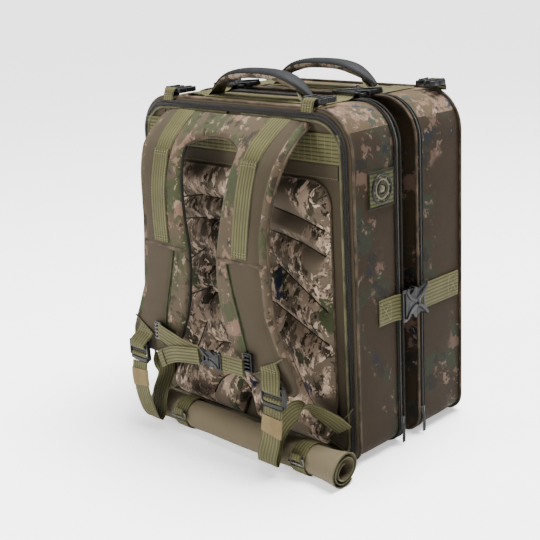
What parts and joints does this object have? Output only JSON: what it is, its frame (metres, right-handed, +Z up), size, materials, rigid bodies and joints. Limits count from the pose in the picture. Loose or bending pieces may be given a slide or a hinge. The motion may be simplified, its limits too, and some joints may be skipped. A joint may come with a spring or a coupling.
{
  "type": "tackle backpack",
  "caption": "Boxy camouflage fishing backpack: padded harness module and a detachable front module with a drop-down lid, clipped together by side-release buckles.",
  "frame": {"origin": "middle of the underside of the back module", "axes": "+Z up, X across the width, harness facing -Y, front module on the +Y side"},
  "size_m": [0.4744, 0.368, 0.5786],
  "materials": {
    "camouflage_fabric": "woven",
    "black_base_sheet": "moulded",
    "quilted_camouflage": "woven",
    "olive_webbing": "woven",
    "buckle_plastic": "moulded",
    "brown_cover_cloth": "woven",
    "patch_rubber": "moulded",
    "grey_handle_fabric": "woven",
    "black_zip_metal": "coated",
    "hook_steel": "bent wire plate"
  },
  "bodies": {
    "back_module": {"back_shell": "camouflage_fabric", "back_base": "black_base_sheet", "back_panel": "camouflage_fabric", "back_pad": "quilted_camouflage", "molle_band": "olive_webbing", "harness_yoke": "camouflage_fabric", "shoulder_strap_left": "camouflage_fabric", "shoulder_strap_right": "camouflage_fabric", "strap_webbing_left": "olive_webbing", "strap_webbing_right": "olive_webbing", "lower_webbing_left": "olive_webbing", "lower_webbing_right": "olive_webbing", "sternum_clip_left": "buckle_plastic", "sternum_clip_right": "buckle_plastic", "cover_strap_left": "olive_webbing", "cover_strap_right": "olive_webbing", "top_strap_back_left": "olive_webbing", "top_strap_back_right": "olive_webbing", "top_female_left": "buckle_plastic", "top_female_right": "buckle_plastic", "side_strap_back_left": "olive_webbing", "side_strap_back_right": "olive_webbing", "side_female_left": "buckle_plastic", "side_female_right": "buckle_plastic", "sternum_loop": "olive_webbing", "sternum_female": "buckle_plastic", "rolled_cover": "brown_cover_cloth", "handle_webbing_back": "olive_webbing", "side_patch": "patch_rubber"},
    "front_module": {"front_shell": "camouflage_fabric", "front_base": "black_base_sheet", "handle_webbing_front": "olive_webbing", "top_strap_front_left": "olive_webbing", "top_strap_front_right": "olive_webbing", "top_male_left": "buckle_plastic", "top_male_right": "buckle_plastic", "side_strap_front_left": "olive_webbing", "side_strap_front_right": "olive_webbing", "side_male_left": "buckle_plastic", "side_male_right": "buckle_plastic"},
    "front_lid": {"front_lid": "camouflage_fabric"},
    "handle_back": {"handle_back": "grey_handle_fabric"},
    "handle_front": {"handle_front": "grey_handle_fabric"},
    "sternum_male": {"sternum_male": "buckle_plastic", "sternum_webbing": "olive_webbing"},
    "lid_slider": {"lid_slider": "black_zip_metal"},
    "ladder_lock_left": {"ladder_lock_left": "buckle_plastic"},
    "cover_hook_left": {"cover_hook_left": "hook_steel"},
    "ladder_lock_right": {"ladder_lock_right": "buckle_plastic"},
    "cover_hook_right": {"cover_hook_right": "hook_steel"},
    "zip_slider_back": {"zip_slider_back": "black_zip_metal"},
    "zip_pull_back": {"zip_pull_back": "black_zip_metal"},
    "accessory_buckle_back_left": {"accessory_buckle_back_left": "buckle_plastic"},
    "accessory_buckle_back_right": {"accessory_buckle_back_right": "buckle_plastic"},
    "zip_slider_front": {"zip_slider_front": "black_zip_metal"},
    "zip_pull_front": {"zip_pull_front": "black_zip_metal"},
    "accessory_buckle_front_left": {"accessory_buckle_front_left": "buckle_plastic"},
    "accessory_buckle_front_right": {"accessory_buckle_front_right": "buckle_plastic"}
  },
  "joints": [
    {"name": "module_release", "type": "slide", "parent": "back_module", "child": "front_module", "axis": [0, 1, 0], "range_m": [0, 0.15]},
    {"name": "lid_hinge", "type": "hinge", "parent": "front_module", "child": "front_lid", "pos_m": [0, 0.208, 0.0036], "axis": [1, 0, 0], "range_deg": [-89, 0]},
    {"name": "lid_zip", "type": "slide", "parent": "front_module", "child": "lid_slider", "axis": [0, 0, 1], "range_m": [0, 0.4]},
    {"name": "sternum_release", "type": "slide", "parent": "back_module", "child": "sternum_male", "axis": [-1, 0, 0], "range_m": [0, 0.028]},
    {"name": "handle_back_swing", "type": "hinge", "parent": "back_module", "child": "handle_back", "pos_m": [0, 0.001, 0.5301], "axis": [1, 0, 0], "range_deg": [-32, 32], "stiffness_Nm_per_rad": 0.25},
    {"name": "handle_front_swing", "type": "hinge", "parent": "front_module", "child": "handle_front", "pos_m": [0, 0.146, 0.5301], "axis": [1, 0, 0], "range_deg": [-32, 32], "stiffness_Nm_per_rad": 0.25},
    {"name": "ladder_lock_left_tilt", "type": "hinge", "parent": "back_module", "child": "ladder_lock_left", "pos_m": [-0.151, -0.1525, 0.1445], "axis": [1, 0, 0], "range_deg": [-35, 0]},
    {"name": "ladder_lock_right_tilt", "type": "hinge", "parent": "back_module", "child": "ladder_lock_right", "pos_m": [0.151, -0.1525, 0.1445], "axis": [1, 0, 0], "range_deg": [-35, 0]},
    {"name": "cover_hook_left_swing", "type": "hinge", "parent": "back_module", "child": "cover_hook_left", "pos_m": [-0.085, -0.1375, 0.0341], "axis": [1, 0, 0], "range_deg": [-50, 0]},
    {"name": "cover_hook_right_swing", "type": "hinge", "parent": "back_module", "child": "cover_hook_right", "pos_m": [0.173, -0.1375, 0.0341], "axis": [1, 0, 0], "range_deg": [-50, 0]},
    {"name": "zip_back", "type": "slide", "parent": "back_module", "child": "zip_slider_back", "axis": [0, 0, 1], "range_m": [0, 0.148]},
    {"name": "zip_pull_back_swing", "type": "hinge", "parent": "zip_slider_back", "child": "zip_pull_back", "pos_m": [0.2258, 0.0475, 0.0325], "axis": [0, 1, 0], "range_deg": [-90, 0]},
    {"name": "zip_front", "type": "slide", "parent": "front_module", "child": "zip_slider_front", "axis": [0, 0, 1], "range_m": [0, 0.148]},
    {"name": "zip_pull_front_swing", "type": "hinge", "parent": "zip_slider_front", "child": "zip_pull_front", "pos_m": [0.2258, 0.0985, 0.0325], "axis": [0, 1, 0], "range_deg": [-90, 0]},
    {"name": "accessory_buckle_back_left_flip", "type": "hinge", "parent": "back_module", "child": "accessory_buckle_back_left", "pos_m": [-0.148, -0.047, 0.5299], "axis": [1, 0, 0], "range_deg": [0, 150]},
    {"name": "accessory_buckle_back_right_flip", "type": "hinge", "parent": "back_module", "child": "accessory_buckle_back_right", "pos_m": [0.148, -0.047, 0.5299], "axis": [1, 0, 0], "range_deg": [0, 150]},
    {"name": "accessory_buckle_front_left_flip", "type": "hinge", "parent": "front_module", "child": "accessory_buckle_front_left", "pos_m": [-0.178, 0.1995, 0.5299], "axis": [1, 0, 0], "range_deg": [-150, 0]},
    {"name": "accessory_buckle_front_right_flip", "type": "hinge", "parent": "front_module", "child": "accessory_buckle_front_right", "pos_m": [0.178, 0.1995, 0.5299], "axis": [1, 0, 0], "range_deg": [-150, 0]}
  ]
}
